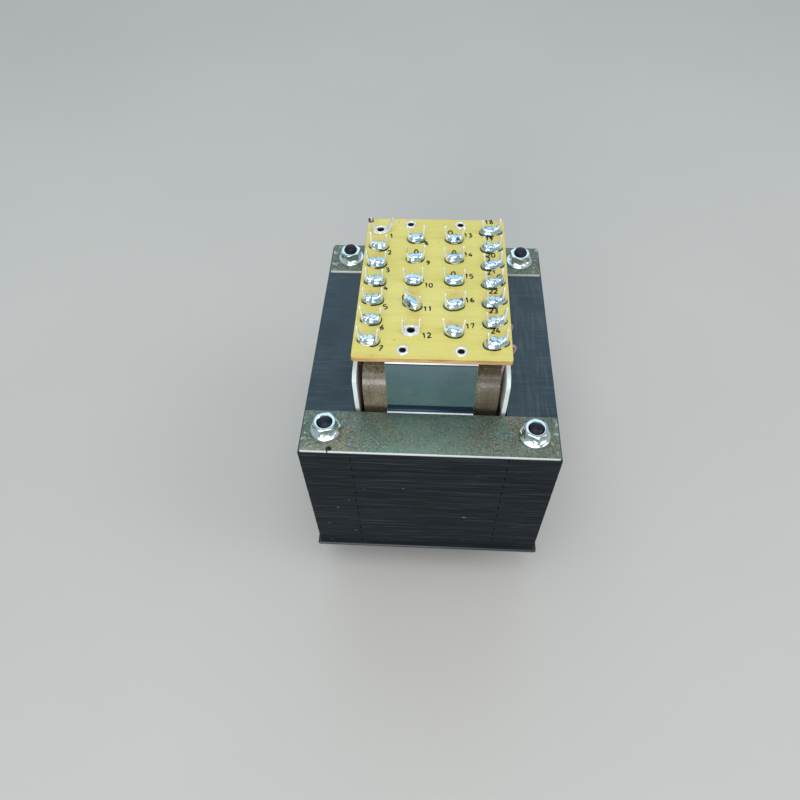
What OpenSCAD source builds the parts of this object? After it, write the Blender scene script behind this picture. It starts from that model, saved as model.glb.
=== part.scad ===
// Power transformer of a valve amplifier, terminal side up, resting on its end bell.
// X runs along the core's legs, Y across them (front is -Y), Z through the stack.
// Millimetres. The origin is on the bell's closed face, under the middle of the core.

/* [Core] */
// Half the width of the centre leg: side legs, yokes and windows are this wide
leg = 19; // [16:0.5:24]
// Height of the lamination stack
stack_h = 72; // [50:1:90]
// Number of interleaved packets in the stack
packets = 24; // [6:2:36]

/* [Bolts and nuts] */
// Thread diameter of the four clamping bolts
bolt_d = 5; // [4:0.5:6]
// Play between a bolt and the holes it passes through, on the radius
bolt_play = 0.25; // [0.1:0.05:0.5]
// Play between a bolt and its nut's thread, on the radius
thread_play = 0.05; // [0.02:0.01:0.1]
// Width across the flats of nuts and bolt heads
hex_af = 8; // [7:0.5:10]
// Height of a flange nut
nut_h = 5; // [4:0.5:6]
// Diameter of the nut's flange
nut_flange_d = 11.4; // [10:0.2:13]
// Thickness of the nut's flange at its rim
nut_rim_t = 0.9; // [0.6:0.1:1.5]
// Height of the cone between the rim and the hexagon
nut_cone_h = 1; // [0.5:0.1:2]
// Height of the chamfer round the nut's top
nut_chamfer = 0.4; // [0.2:0.1:1]
// Height of the rounded end of a bolt
bolt_dome = 0.8; // [0.4:0.1:1.2]
// Height of a bolt head
head_h = 3.5; // [3:0.5:5]
// Length of a front bolt that stands proud of its nut
bolt_proud = 0.8; // [0.3:0.1:2]
// How much further a back bolt stands proud
back_extra = 1.2; // [0:0.1:2]

/* [Coil] */
// Wall of the tube that the coil is wound on
tube_t = 1.2; // [0.8:0.1:2]
// Play between that tube and the centre leg
tube_play = 0.3; // [0.1:0.1:0.5]
// Gap between the coil and the walls of the clamp brackets
coil_gap = 0.8; // [0.3:0.1:4]
// Thickness of the outer paper wrap
wrap_t = 1; // [0.5:0.1:2]
// Play between the winding and its wrap
wrap_play = 0.1; // [0.05:0.05:0.3]
// Radius of the coil's outer corners
coil_r = 8; // [4:0.5:12]
// Thickness of an end cheek
cheek_t = 2; // [1:0.1:3]
// Play between a cheek and the core's yoke
cheek_play = 0.3; // [0.1:0.1:0.5]
// How far a cheek's edge stays inside the window's depth
cheek_inset = 0.8; // [0.4:0.1:1.5]
// Radius of a cheek's corners
cheek_r = 3; // [1:0.5:5]
// Gap at each end of the wrap, where the leads come out
lead_gap = 1.2; // [1.1:0.1:2]

/* [Clamp brackets] */
// Sheet thickness of the clamp brackets
sheet = 1.2; // [1:0.1:2]
// Distance from a strap's end to the core's end
strap_end = 0.8; // [0.5:0.1:4]
// Radius of the strap's corners
strap_r = 0.5; // [0.5:0.5:4]
// Distance from the window to the strap's inner edge
strap_in = 1; // [0.4:0.1:1.6]
// Distance from the core's face to the strap's outer edge
strap_out = 0.2; // [0:0.1:1]
// Width of the upright wall
wall_w = 32; // [24:1:36]
// Height of the board's underside over the core
board_rise = 28.7; // [24:0.1:34]
// Inside radius of the bend at the wall's foot
foot_r = 1.4; // [0.5:0.1:2]
// Inside radius of the bend at the wall's top
top_r = 0.5; // [0.3:0.1:1]
// Reach of the tab under the board, from the wall's outer face
tab_l = 9.5; // [8:0.5:10]

/* [Terminal board] */
// Width of the board along X
board_w = 55; // [52:1:60]
// Reach of the board past the walls that carry it
board_over = 0.2; // [0:0.1:2]
// Thickness of the board
board_t = 2; // [1:0.1:3]
// Radius of the board's corners
board_r = 1; // [0.5:0.5:3]
// Distance from the board's middle to an outer column of lugs
col_out = 22; // [20:0.5:23]
// Distance from the board's middle to an inner column of lugs
col_in = 7.5; // [6:0.5:9]
// Lugs in an outer column
rows_out = 7; // [5:1:7]
// Pitch of the lugs in an outer column
pitch_out = 10; // [9:0.1:10]
// Lugs in an inner column
rows_in = 5; // [3:2:5]
// Pitch of the lugs in an inner column
pitch_in = 12.5; // [11:0.1:12.5]
// Play between what passes through the board and its hole, on the radius
board_play = 0.05; // [0.02:0.01:0.1]

/* [Lugs] */
// Outside diameter of a lug's base ring
ring_d = 6.8; // [6:0.1:7.5]
// Sheet thickness of a lug
lug_t = 0.5; // [0.4:0.05:0.7]
// Outside diameter of a lug's shank
shank_d = 3.4; // [2.6:0.1:3.6]
// Wall of the shank
shank_t = 0.3; // [0.3:0.05:0.5]
// Diameter of the rim turned out below the board
rim_d = 4.6; // [3.8:0.1:4.8]
// Outside diameter of the head rolled over a lug's base ring
roll_d = 4.6; // [3.8:0.1:4.8]
// Height of a prong over the base ring
prong_h = 6; // [5:0.1:8]
// Width of a prong at its foot
prong_w = 2.6; // [2:0.1:3]
// Width of a prong at its rounded tip
prong_tip_w = 1.6; // [1:0.1:2.4]
// Height of a solder bead over the base ring
bead_h = 2.6; // [1.5:0.1:3]

/* [Board eyelets] */
// Diameter of an eyelet's head
eye_d = 4.6; // [3.6:0.1:4.8]
// Diameter of an eyelet's shank
eye_shank_d = 3; // [2:0.1:3.2]
// Diameter of the rim turned out below the tab
eye_rim_d = 3.8; // [2.8:0.1:3.8]
// Thickness of that rim
eye_t = 0.4; // [0.3:0.05:0.5]
// Distance between the two eyelets of one bracket
eye_gap = 20; // [16:1:24]
// Distance from an eyelet to the wall's inner face
eye_in = 2.4; // [2.4:0.1:3]

/* [Leads] */
// Diameter of a winding lead
lead_d = 0.9; // [0.6:0.1:1]
// Bend radius of a lead
lead_r = 2.5; // [1:0.1:3]
// Height over the coil at which leads run to the inner lugs
run_in = 2; // [1.5:0.1:3]
// Height over the coil at which leads cross to the outer lugs
run_out = 6; // [5:0.1:7]
// Sideways step of a lead between the coil and an outer lug
lead_step = 1.25; // [1.1:0.05:1.35]

/* [End bell] */
// Sheet thickness of the bell
bell_t = 1.6; // [1:0.1:2]
// Flange reach past the core along X
lip_x = 1; // [0.5:0.1:3]
// Flange reach past the core along Y
lip_y = 2; // [0.5:0.1:3]
// Radius of the flange's corners
lip_r = 1; // [0.5:0.5:8]
// Gap between the cheeks and the bell's walls
bell_side_gap = 1.5; // [1.2:0.1:3]
// Gap between the coil's lower end and the bell's closed face
bell_end_gap = 4.2; // [3:0.1:8]
// Outer radius of the bell's upright corners
bell_r = 7; // [6:0.5:9]
// Outer radius of the edge round the closed face
bell_edge_r = 5; // [4:0.5:6]

/* [Hidden] */
$fn = 48;
eps = 0.01;

// Core, from the scrapless E and I: 5 legs long, 6 legs deep, window 3 legs long
core_l = 5 * leg;
core_d = 6 * leg;
window_l = 3 * leg;
window_out = 2 * leg;
packet_h = stack_h / packets;
bolt_x = core_l / 2 - leg / 2;
bolt_y = core_d / 2 - leg / 2;
hole_r = bolt_d / 2 + bolt_play;

// Bracket profile, as distances from the middle plane
strap_y = window_out + strap_in;
wall_out = strap_y - foot_r;
wall_in = wall_out - sheet;
eye_y = wall_in - eye_in;
strap_l = core_l - 2 * strap_end;
board_d = 2 * (wall_out + board_over);

// Coil
tube_y = leg + tube_play + tube_t;
tube_z = stack_h / 2 + tube_play + tube_t;
cheek_x = window_l / 2 - cheek_play;
cheek_y = window_out - cheek_inset;
cheek_z = stack_h / 2 + leg - cheek_inset;
wrap_x = cheek_x - cheek_t - lead_gap;
coil_y = wall_in - coil_gap;
coil_z = stack_h / 2 + coil_y - leg;

// Heights
bell_h = cheek_z - stack_h / 2 + bell_end_gap + bell_t;
core_z = bell_h;
mid_z = core_z + stack_h / 2;
core_top = core_z + stack_h;
strap_top = core_top + sheet;
board_z = core_top + board_rise;
board_top = board_z + board_t;
ring_top = board_top + lug_t;
coil_top = mid_z + coil_z;

// Lugs
ys_out = [for (i = [0 : rows_out - 1]) (i - (rows_out - 1) / 2) * pitch_out];
ys_in = [for (i = [0 : rows_in - 1]) (i - (rows_in - 1) / 2) * pitch_in];
// The two lugs left open are the rearmost outer left and the foremost inner left
ys_out_left = [for (i = [0 : rows_out - 2]) ys_out[i]];
ys_in_left = [for (i = [1 : rows_in - 1]) ys_in[i]];
prong_x = ring_d / 2 - lug_t;
lead_x = wrap_x + lead_gap / 2;
board_hole_r = shank_d / 2 + board_play;

black = [0.10, 0.11, 0.12];
chromate = [0.62, 0.60, 0.40];
zinc = [0.72, 0.74, 0.78];
steel = [0.16, 0.17, 0.19];
fibre_white = [0.90, 0.90, 0.86];
kraft = [0.45, 0.37, 0.28];
board_yellow = [0.86, 0.78, 0.36];
tin = [0.78, 0.79, 0.80];
solder_grey = [0.66, 0.68, 0.74];
copper = [0.65, 0.33, 0.20];

// A rectangle with rounded corners, centred
module rounded(w, d, r) {
    square([w - 2 * r, d], center = true);
    square([w, d - 2 * r], center = true);
    for (x = [-1, 1], y = [-1, 1]) translate([x * (w / 2 - r), y * (d / 2 - r)]) circle(r);
}

// Stands a profile drawn in Y and Z across the part and runs it along X
module along_x(l) {
    rotate([90, 0, 90]) linear_extrude(l, center = true) children();
}

module at_bolts(z) {
    for (x = [-1, 1], y = [-1, 1]) translate([x * bolt_x, y * bolt_y, z]) children();
}

// ---- Core ----

// One packet of E laminations with its yoke on the left
module e_packet() {
    linear_extrude(packet_h) difference() {
        translate([-core_l / 2, -core_d / 2]) square([4 * leg, core_d]);
        for (y = [-1, 1]) translate([-window_l / 2, y * 1.5 * leg - leg / 2])
            square([window_l + eps, leg]);
        for (y = [-1, 1]) translate([-bolt_x, y * bolt_y]) circle(hole_r);
    }
}

// One packet of I laminations that closes such an E on the right
module i_packet() {
    linear_extrude(packet_h) difference() {
        translate([window_l / 2, -core_d / 2]) square([leg, core_d]);
        for (y = [-1, 1]) translate([bolt_x, y * bolt_y]) circle(hole_r);
    }
}

// Every second packet of the stack, from the first one given
module every_second(first) {
    for (i = [first : 2 : packets - 1]) translate([0, 0, core_z + i * packet_h]) children();
}

module core_e_left() color(steel) every_second(1) e_packet();
module core_i_right() color(steel) every_second(1) i_packet();
module core_e_right() color(steel) every_second(0) mirror([1, 0, 0]) e_packet();
module core_i_left() color(steel) every_second(0) mirror([1, 0, 0]) i_packet();

// ---- Coil ----

module tube_section(grow = 0) {
    square([2 * (tube_y + grow), 2 * (tube_z + grow)], center = true);
}

module bobbin_tube() {
    color(kraft) translate([0, 0, mid_z]) along_x(2 * cheek_x) difference() {
        tube_section();
        tube_section(-tube_t);
    }
}

module cheek(side) {
    color(fibre_white) translate([side * (cheek_x - cheek_t / 2), 0, mid_z])
        along_x(cheek_t) difference() {
            rounded(2 * cheek_y, 2 * cheek_z, cheek_r);
            tube_section(wrap_play);
        }
}
module cheek_left() cheek(-1);
module cheek_right() cheek(1);

// Outline of the coil, that much smaller all round
module coil_section(inside) {
    rounded(2 * (coil_y - inside), 2 * (coil_z - inside), coil_r - inside);
}

module winding() {
    color(copper) translate([0, 0, mid_z]) along_x(2 * wrap_x) difference() {
        coil_section(wrap_t + wrap_play);
        tube_section(wrap_play);
    }
}

module coil_wrap() {
    color(kraft) translate([0, 0, mid_z]) along_x(2 * wrap_x) difference() {
        coil_section(0);
        coil_section(wrap_t);
    }
}

// ---- Clamp brackets ----

// A quarter of a bent sheet about the given centre
module bend(centre, r, from) {
    translate(centre) rotate(from) intersection() {
        difference() {
            circle(r + sheet);
            circle(r);
        }
        square(r + sheet + eps);
    }
}

// The run out of the strap, foot bend, wall, top bend and tab, drawn up from the core's top
module wall_section() {
    translate([strap_y, 0]) square([strap_r, sheet]);
    bend([strap_y, sheet + foot_r], foot_r, 180);
    translate([wall_in, sheet + foot_r]) square([sheet, board_rise - 2 * sheet - foot_r - top_r]);
    bend([wall_in - top_r, board_rise - sheet - top_r], top_r, 0);
    translate([wall_out - tab_l, board_rise - sheet]) square([tab_l - sheet - top_r, sheet]);
}

// The strap over one leg, in one piece with the wall and tab that carry the board
module bracket(side) {
    strap_d = core_d / 2 - strap_out - strap_y;
    color(chromate) mirror([0, side < 0 ? 1 : 0, 0]) difference() {
        union() {
            translate([0, strap_y + strap_d / 2, core_top]) linear_extrude(sheet)
                rounded(strap_l, strap_d, strap_r);
            translate([0, 0, core_top]) along_x(wall_w) wall_section();
        }
        for (x = [-1, 1]) {
            translate([x * bolt_x, bolt_y, core_top - 1]) cylinder(h = sheet + 2, r = hole_r);
            translate([x * eye_gap / 2, eye_y, board_z - sheet - 1])
                cylinder(h = sheet + 2, d = eye_shank_d + 2 * board_play);
        }
    }
}
module front_bracket() bracket(-1);
module back_bracket() bracket(1);

// ---- Terminal board ----

module at_lugs(x, ys) {
    for (y = ys) translate([x, y, 0]) children();
}

module at_eyelets() {
    for (x = [-1, 1], y = [-1, 1]) translate([x * eye_gap / 2, y * eye_y, 0]) children();
}

module terminal_board() {
    color(board_yellow) translate([0, 0, board_z]) linear_extrude(board_t) difference() {
        rounded(board_w, board_d, board_r);
        for (x = [-col_out, col_out]) at_lugs(x, ys_out) circle(board_hole_r);
        for (x = [-col_in, col_in]) at_lugs(x, ys_in) circle(board_hole_r);
        at_eyelets() circle(d = eye_shank_d + 2 * board_play);
    }
}

// A hollow rivet: rolled head on top, shank, and a rim turned out below the given grip
module rivet(head_d, d, wall, rim, t, grip) {
    bore = d / 2 - wall;
    roll = (head_d / 2 - bore) / 2;
    rotate_extrude() {
        translate([bore, -grip - t]) square([wall, grip + t]);
        translate([bore, -grip - t]) square([rim / 2 - bore, t]);
        translate([bore + roll, 0]) intersection() {
            circle(roll);
            translate([-roll, 0]) square([2 * roll, roll]);
        }
    }
}

module board_eyelets() {
    color(zinc) at_eyelets() translate([0, 0, board_top])
        rivet(eye_d, eye_shank_d, shank_t, eye_rim_d, eye_t, board_t + sheet);
}

// ---- Lugs, solder and leads ----

module prong() {
    foot = prong_w / 2;
    tip = prong_tip_w / 2;
    rotate([90, 0, 90]) linear_extrude(lug_t) {
        polygon([[-foot, 0], [foot, 0], [tip, prong_h - tip], [-tip, prong_h - tip]]);
        translate([0, prong_h - tip]) circle(tip);
    }
}

// Riveted base ring with two upright prongs
module lug() {
    translate([0, 0, ring_top]) rivet(roll_d, shank_d, shank_t, rim_d, lug_t, board_t + lug_t);
    translate([0, 0, board_top]) {
        linear_extrude(lug_t) difference() {
            circle(d = ring_d);
            circle(shank_d / 2 - shank_t);
        }
        for (side = [0, 1]) mirror([side, 0, 0]) translate([prong_x, 0, lug_t]) prong();
    }
}

module lugs_outer_left() color(tin) at_lugs(-col_out, ys_out_left) lug();
module lugs_inner_left() color(tin) at_lugs(-col_in, ys_in_left) lug();
module lugs_inner_right() color(tin) at_lugs(col_in, ys_in) lug();
module lugs_outer_right() color(tin) at_lugs(col_out, ys_out) lug();
module open_lugs() {
    color(tin) {
        at_lugs(-col_out, [ys_out[rows_out - 1]]) lug();
        at_lugs(-col_in, [ys_in[0]]) lug();
    }
}

// A low dome of solder over the ring and its rolled head, that meets both prongs
module bead() {
    base_r = ring_d / 2 - board_play;
    r = (bead_h * bead_h + base_r * base_r) / (2 * bead_h);
    roll_h = (roll_d / 2 - shank_d / 2 + shank_t) / 2;
    translate([0, 0, ring_top]) difference() {
        intersection() {
            translate([0, 0, bead_h - r]) sphere(r);
            translate([board_play - prong_x, -base_r, 0])
                cube([2 * (prong_x - board_play), 2 * base_r, bead_h + 1]);
        }
        translate([0, 0, -1]) cylinder(h = roll_h + board_play + 1, r = roll_d / 2 + board_play);
    }
}

module solder_outer_left() color(solder_grey) at_lugs(-col_out, ys_out_left) bead();
module solder_inner_left() color(solder_grey) at_lugs(-col_in, ys_in_left) bead();
module solder_inner_right() color(solder_grey) at_lugs(col_in, ys_in) bead();
module solder_outer_right() color(solder_grey) at_lugs(col_out, ys_out) bead();

// A quarter turn of wire in the X-Z plane about the origin
module wire_bend(r, from) {
    rotate([90, from, 0]) rotate_extrude(angle = 90) translate([r, 0]) circle(d = lead_d);
}

// A lead that leaves the coil at exit, crosses over at height run and rises into a lug
module lead(lug_x, lug_y, exit_y, run) {
    side = lug_x < 0 ? -1 : 1;
    dx = side * lead_x - lug_x;
    dy = exit_y - lug_y;
    reach = sqrt(dx * dx + dy * dy);
    r = floor(10 * min(lead_r, run - lead_d / 2, (reach - lead_d) / 2)) / 10;
    z = coil_top + run;
    translate([lug_x, lug_y, 0]) rotate([0, 0, atan2(dy, dx)]) {
        translate([0, 0, z + r]) cylinder(h = board_z + board_t / 2 - z - r, d = lead_d);
        translate([r, 0, z + r]) wire_bend(r, 180);
        translate([r, 0, z]) rotate([0, 90, 0]) cylinder(h = reach - 2 * r, d = lead_d);
        translate([reach - r, 0, z - r]) wire_bend(r, 0);
        translate([reach, 0, coil_top - coil_r]) cylinder(h = z - r - coil_top + coil_r, d = lead_d);
    }
}

module leads_left() {
    color(copper) {
        for (y = ys_out_left) lead(-col_out, y, y + lead_step, run_out);
        for (y = ys_in_left) lead(-col_in, y, y, run_in);
    }
}
module leads_right() {
    color(copper) {
        for (y = ys_out) lead(col_out, y, y + lead_step, run_out);
        for (y = ys_in) lead(col_in, y, y, run_in);
    }
}

// ---- Bolts and nuts ----

module bolt(x, y) {
    bottom = core_z - bell_t;
    tip = strap_top + nut_h + bolt_proud + (y > 0 ? back_extra : 0);
    dome_r = (bolt_d * bolt_d / 4 + bolt_dome * bolt_dome) / (2 * bolt_dome);
    color(black) translate([x * bolt_x, y * bolt_y, 0]) {
        translate([0, 0, bottom - head_h]) cylinder(h = head_h, d = hex_af / cos(30), $fn = 6);
        intersection() {
            translate([0, 0, bottom - head_h / 2])
                cylinder(h = tip - bottom + head_h / 2, d = bolt_d);
            translate([0, 0, tip - dome_r]) union() {
                sphere(dome_r);
                translate([0, 0, -tip]) cylinder(h = tip, r = dome_r);
            }
        }
    }
}
module bolt_front_left() bolt(-1, -1);
module bolt_front_right() bolt(1, -1);
module bolt_back_left() bolt(-1, 1);
module bolt_back_right() bolt(1, 1);

// A hexagon nut with a conical flange and a chamfered top
module nut(x, y) {
    corner_d = hex_af / cos(30);
    bore_r = bolt_d / 2 + thread_play;
    mouth = nut_chamfer / 2 + thread_play;
    color(zinc) translate([x * bolt_x, y * bolt_y, strap_top]) difference() {
        union() {
            intersection() {
                cylinder(h = nut_h, d = corner_d, $fn = 6);
                union() {
                    cylinder(h = nut_h - nut_chamfer, d = corner_d + 1);
                    translate([0, 0, nut_h - nut_chamfer])
                        cylinder(h = nut_chamfer, d1 = corner_d, d2 = hex_af);
                }
            }
            cylinder(h = nut_rim_t, d = nut_flange_d);
            translate([0, 0, nut_rim_t])
                cylinder(h = nut_cone_h, d1 = nut_flange_d - nut_chamfer, d2 = hex_af);
        }
        translate([0, 0, -1]) cylinder(h = nut_h + 2, r = bore_r);
        translate([0, 0, nut_h - mouth]) cylinder(h = mouth + eps, r1 = bore_r, r2 = bore_r + mouth);
    }
}
module nut_front_left() nut(-1, -1);
module nut_front_right() nut(1, -1);
module nut_back_left() nut(-1, 1);
module nut_back_right() nut(1, 1);

// ---- End bell ----

// A drawn cup standing on its closed face, with round corners and a round edge
module cup(hx, hy, h, r, edge) {
    hull() for (x = [-1, 1], y = [-1, 1]) translate([x * (hx - r), y * (hy - r), 0])
        rotate_extrude() {
            translate([0, edge]) square([r, h - edge]);
            square([r - edge, h]);
            intersection() {
                translate([r - edge, edge]) circle(edge);
                square(r + 1);
            }
        }
}

module end_bell() {
    in_x = cheek_x + bell_side_gap;
    in_y = cheek_y + bell_side_gap;
    color(black) difference() {
        union() {
            translate([0, 0, core_z - bell_t]) linear_extrude(bell_t)
                rounded(core_l + 2 * lip_x, core_d + 2 * lip_y, lip_r);
            cup(in_x + bell_t, in_y + bell_t, bell_h, bell_r, bell_edge_r);
        }
        translate([0, 0, bell_t]) cup(in_x, in_y, bell_h, bell_r - bell_t, bell_edge_r - bell_t);
        at_bolts(core_z - bell_t - 1) cylinder(h = bell_t + 2, r = hole_r);
    }
}

end_bell();
core_e_left();
core_i_right();
core_e_right();
core_i_left();
bobbin_tube();
cheek_left();
cheek_right();
winding();
coil_wrap();
front_bracket();
back_bracket();
terminal_board();
board_eyelets();
lugs_outer_left();
lugs_inner_left();
lugs_inner_right();
lugs_outer_right();
open_lugs();
solder_outer_left();
solder_inner_left();
solder_inner_right();
solder_outer_right();
leads_left();
leads_right();
bolt_front_left();
bolt_front_right();
bolt_back_left();
bolt_back_right();
nut_front_left();
nut_front_right();
nut_back_left();
nut_back_right();
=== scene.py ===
"""The looks of the power transformer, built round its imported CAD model.

Shapes are worked out in millimetres in the part's own frame and stored in metres.
X runs along the core's legs, Y across them with the front at -Y, Z up.
"""
from math import cos, dist, exp, hypot, pi, radians, sin, sqrt
import random

import bpy
from mathutils import Matrix, Vector, noise


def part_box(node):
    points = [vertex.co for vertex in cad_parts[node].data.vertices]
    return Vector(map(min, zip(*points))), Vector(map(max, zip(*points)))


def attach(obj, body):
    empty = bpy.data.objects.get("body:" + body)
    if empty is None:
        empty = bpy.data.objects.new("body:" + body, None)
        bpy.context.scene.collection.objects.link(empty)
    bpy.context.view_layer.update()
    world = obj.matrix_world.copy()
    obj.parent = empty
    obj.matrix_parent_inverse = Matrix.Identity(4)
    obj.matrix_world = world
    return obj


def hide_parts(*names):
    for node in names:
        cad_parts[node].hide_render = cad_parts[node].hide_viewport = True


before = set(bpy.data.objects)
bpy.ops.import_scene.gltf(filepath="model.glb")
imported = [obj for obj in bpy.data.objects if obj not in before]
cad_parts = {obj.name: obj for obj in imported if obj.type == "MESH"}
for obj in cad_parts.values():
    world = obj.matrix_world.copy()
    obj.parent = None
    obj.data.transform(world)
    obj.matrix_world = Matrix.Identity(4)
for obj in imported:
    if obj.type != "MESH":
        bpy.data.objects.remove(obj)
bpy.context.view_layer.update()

MM = 0.001
TAU = 2 * pi


def box(*nodes):
    """Lowest and highest corner of some CAD nodes together, in millimetres."""
    corners = [[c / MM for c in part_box(n)] for n in nodes]
    lo = [min(c[0][i] for c in corners) for i in range(3)]
    hi = [max(c[1][i] for c in corners) for i in range(3)]
    return lo, hi


def show(obj):
    bpy.context.scene.collection.objects.link(obj)


def waver(*point):
    """Smooth noise between -1 and 1 at a point."""
    return noise.noise(Vector(point))


# ---- Sizes taken from the frame ----

CORE_NODES = ("core_e_left", "core_i_right", "core_e_right", "core_i_left")
core_lo, core_hi = box(*CORE_NODES)
LEG = (core_hi[1] - core_lo[1]) / 6
PACKET_H = core_hi[2] - core_lo[2] - (box("core_e_left")[1][2] - box("core_e_left")[0][2])
PACKETS = round((core_hi[2] - core_lo[2]) / PACKET_H)
board_lo, board_hi = box("terminal_board")
BOARD_TOP = board_hi[2]
board_lug_top = box("open_lugs")[1][2]
strap_lo, strap_hi = box("back_bracket")
bell_hi = box("end_bell")[1]
cheek_lo, cheek_hi = box("cheek_right")
wrap_lo, wrap_hi = box("coil_wrap")
nut_lo, nut_hi = box("nut_back_right")
bolt_x = (nut_lo[0] + nut_hi[0]) / 2
bolt_y = (nut_lo[1] + nut_hi[1]) / 2
eye_hi = box("board_eyelets")[1]

# ---- Sizes that the frame's boxes do not give ----

LAM_PER_PACKET = 6       # laminations in a packet
LAM_SHIFT = 0.10         # how far a lamination may sit back from the stack's face
SHEET = 1.2              # clamp bracket
WALL_W = 32.0            # the bracket's wall
STRAP_IN = 1.0           # strap's inner edge past the window
FOOT_R, TOP_R = 1.4, 0.5
BOLT_D, HEX_AF = 5.0, 8.0
RING_R, RING_T = 3.4, 0.5  # a lug's base
PRONG_W, PRONG_TIP, PRONG_T = 2.6, 0.8, 0.6
PRONG_H = board_lug_top - BOARD_TOP - RING_T
SHANK_R, SHANK_T, RIM_R, HEAD_R = 1.7, 0.3, 2.3, 2.3
EYE_R, EYE_SHANK_R, EYE_RIM_R = 2.3, 1.5, 1.9
LEAD_R = 0.45
COL_OUT, COL_IN = 22.0, 7.5
ROWS_OUT, PITCH_OUT = 7, 10.0
ROWS_IN, PITCH_IN = 5, 12.5
BELL_T, LIP_R = 1.6, 1.0
DRILL_OFF = 1.0          # how far back the middle row of an inner column sits

rows_out = [(i - (ROWS_OUT - 1) / 2) * PITCH_OUT for i in range(ROWS_OUT)]
# in the photo the inner columns' middle rows sit a little far back
rows_in = [(i - (ROWS_IN - 1) / 2) * PITCH_IN for i in range(ROWS_IN)]
rows_in = [y + DRILL_OFF * (1 - (y / rows_in[0]) ** 2) for y in rows_in]
CORNERS = (("front_left", -1, -1), ("front_right", 1, -1),
           ("back_left", -1, 1), ("back_right", 1, 1))
# Each column of lugs: its place, its rows, and the row left without solder
COLUMNS = {
    "outer_left": (-COL_OUT, rows_out, rows_out[-1]),
    "inner_left": (-COL_IN, rows_in, rows_in[0]),
    "inner_right": (COL_IN, rows_in, None),
    "outer_right": (COL_OUT, rows_out, None),
}


# ---- Meshes ----

def turned(radii, z, cx=0.0, cy=0.0):
    """A ring of points evenly round an upright axis, at one radius after another."""
    n = len(radii)
    return [(cx + r * cos(TAU * i / n), cy + r * sin(TAU * i / n), z)
            for i, r in enumerate(radii)]


class Shape:
    """Vertices in millimetres and faces with their material's number, gathered for one piece."""

    def __init__(self):
        self.verts, self.faces, self.mats = [], [], []

    def add(self, verts, faces, mat=0, place=None):
        base = len(self.verts)
        for v in verts:
            v = Vector(v)
            self.verts.append(tuple(place @ v) if place else tuple(v))
        self.faces += [[base + i for i in f] for f in faces]
        self.mats += list(mat) if isinstance(mat, list) else [mat] * len(faces)

    def loft(self, rings, mat=0, place=None, caps=(True, True), loop=False):
        """Joins rings of equally many points; a closed loop of rings has no caps."""
        n = len(rings[0])
        verts = [p for ring in rings for p in ring]
        faces = []
        for j in range(len(rings) if loop else len(rings) - 1):
            a, b = j * n, (j + 1) % len(rings) * n
            faces += [[a + i, a + (i + 1) % n, b + (i + 1) % n, b + i] for i in range(n)]
        if not loop:
            if caps[0]:
                faces.append(list(range(n))[::-1])
            if caps[1]:
                faces.append([(len(rings) - 1) * n + i for i in range(n)])
        self.add(verts, faces, mat, place)

    def revolve(self, profile, mat=0, place=None, n=32, loop=True):
        """Turns a profile of (radius, height) about Z."""
        self.loft([turned([r] * n, z) for r, z in profile], mat, place, loop=loop)

    def tube(self, path, radius, mat=0, n=10):
        """Sweeps a circle along a smooth path without twist."""
        path = [Vector(p) for p in path]
        side = (path[1] - path[0]).orthogonal().normalized()
        rings = []
        for i, p in enumerate(path):
            ahead = (path[min(i + 1, len(path) - 1)] - path[max(i - 1, 0)]).normalized()
            side = (side - ahead * side.dot(ahead)).normalized()
            up = ahead.cross(side)
            rings.append([p + radius * (side * cos(TAU * k / n) + up * sin(TAU * k / n))
                          for k in range(n)])
        self.loft(rings, mat)

    def piece(self, name, mats, slot, replaces=(), smooth=35):
        """Makes the object, with its materials named by their keys in M."""
        mesh = bpy.data.meshes.new(name)
        mesh.from_pydata([[c * MM for c in v] for v in self.verts], [], self.faces)
        for key in mats.split():
            mesh.materials.append(M[key])
        mesh.polygons.foreach_set("material_index", self.mats)
        mesh.polygons.foreach_set("use_smooth", [True] * len(mesh.polygons))
        mesh.set_sharp_from_angle(angle=radians(smooth))
        mesh.update()
        obj = bpy.data.objects.new(name, mesh)
        show(obj)
        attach(obj, "root")
        if replaces:
            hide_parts(*replaces)
        return obj


def arc(cx, cy, r, start, end, n):
    """Points on an arc, angles in degrees, both ends included."""
    return [(cx + r * cos(radians(start + (end - start) * i / n)),
             cy + r * sin(radians(start + (end - start) * i / n))) for i in range(n + 1)]


def rounded(hx, hy, r, n=6):
    """Outline of a rectangle with rounded corners, anticlockwise from the right."""
    out = []
    for k, (sx, sy) in enumerate(((1, 1), (-1, 1), (-1, -1), (1, -1))):
        out += arc(sx * (hx - r), sy * (hy - r), r, 90 * k, 90 * k + 90, n)
    return out


def at_z(points, z):
    return [(x, y, z) for x, y in points]


def swing(degrees):
    """The sine and cosine of each angle."""
    return [(sin(radians(a)), cos(radians(a))) for a in degrees]


def hexagon(n):
    """Radii of the hexagon across HEX_AF, at n angles."""
    return [HEX_AF / 2 / cos(TAU * (i % (n / 6)) / n - TAU / 12) for i in range(n)]


def shifted(x, y, z):
    return Matrix.Translation((x, y, z))


def spun(angle, axis="Z"):
    return Matrix.Rotation(angle, 4, axis)


def smooth_path(points, steps=8):
    """A Catmull-Rom curve through some points."""
    p = [Vector(q) for q in points]
    p = [2 * p[0] - p[1]] + p + [2 * p[-1] - p[-2]]
    out = []
    for a, b, c, d in zip(p, p[1:], p[2:], p[3:]):
        for i in range(steps):
            t = i / steps
            out.append(0.5 * (2 * b + (c - a) * t + (2 * a - 5 * b + 4 * c - d) * t * t
                              + (3 * b - a - 3 * c + d) * t ** 3))
    return out + [p[-2]]


# ---- Materials ----

M = {}


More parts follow.
